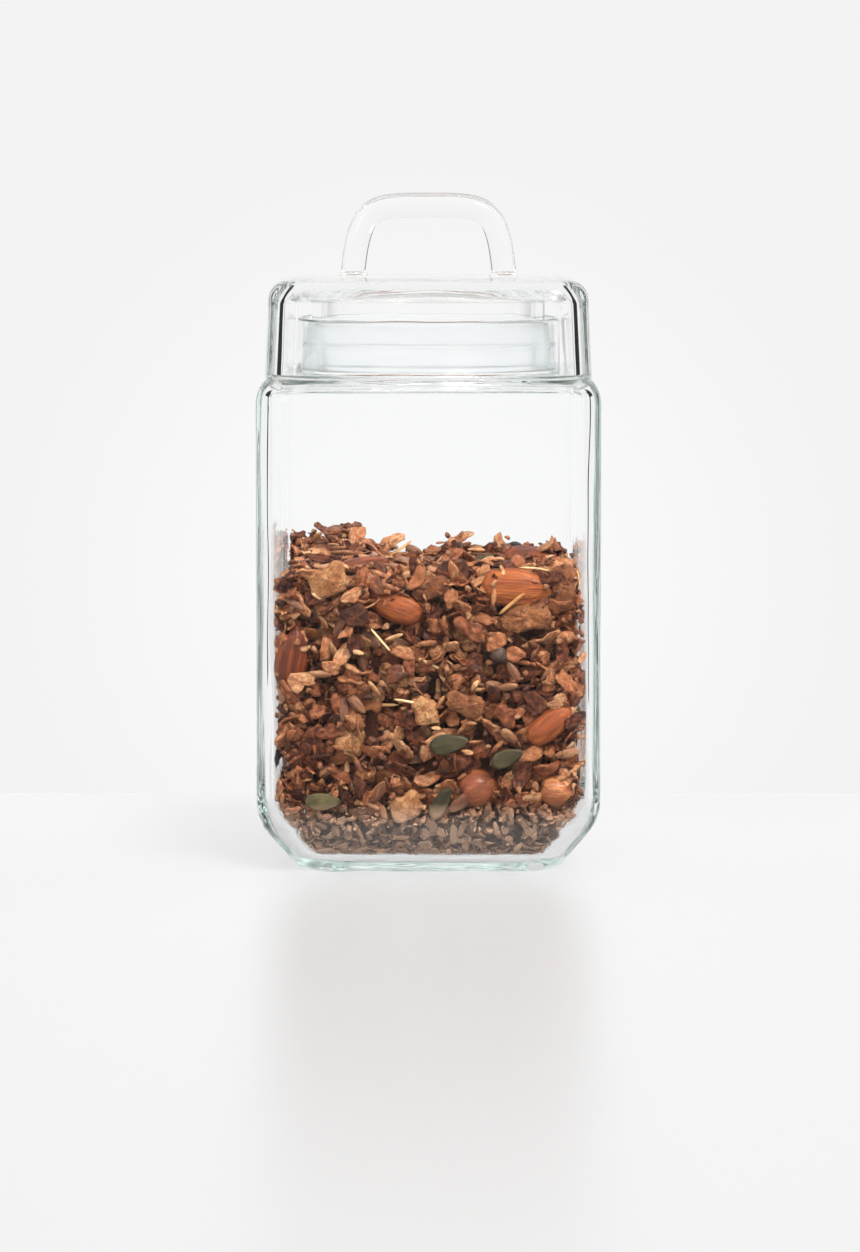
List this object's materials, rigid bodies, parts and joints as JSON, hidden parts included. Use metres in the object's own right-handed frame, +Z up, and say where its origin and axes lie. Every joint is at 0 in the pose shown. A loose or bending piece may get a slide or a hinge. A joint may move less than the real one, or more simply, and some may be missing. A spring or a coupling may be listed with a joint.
{
  "type": "lidded glass canister",
  "caption": "Square glass storage jar with a round neck, a push-in pressed-glass cap with a finned seal and a bent-rod handle, part filled with granola.",
  "frame": {"origin": "middle of the foot, on the surface the jar stands on", "axes": "+Z up through the neck, -Y towards the front, with the handle's bar along X"},
  "size_m": [0.11, 0.11, 0.2177],
  "materials": {
    "jar_glass": "gloss",
    "lid_glass": "gloss",
    "handle_glass": "gloss",
    "bond_resin": "gloss",
    "seal_silicone": "satin",
    "granola_mix": "matte"
  },
  "bodies": {
    "jar": {"jar": "jar_glass", "granola": "granola_mix"},
    "seal": {"seal_ring": "seal_silicone"},
    "lid": {"lid": "lid_glass", "handle": "handle_glass", "handle_bond_left": "bond_resin", "handle_bond_right": "bond_resin"}
  },
  "joints": [
    {"name": "lid_lift", "type": "slide", "parent": "jar", "child": "seal", "axis": [0, 0, 1], "range_m": [0, 0.06]},
    {"name": "lid_turn", "type": "hinge", "parent": "seal", "child": "lid", "pos_m": [0, 0, 0.177], "axis": [0, 0, 1], "continuous": true}
  ]
}
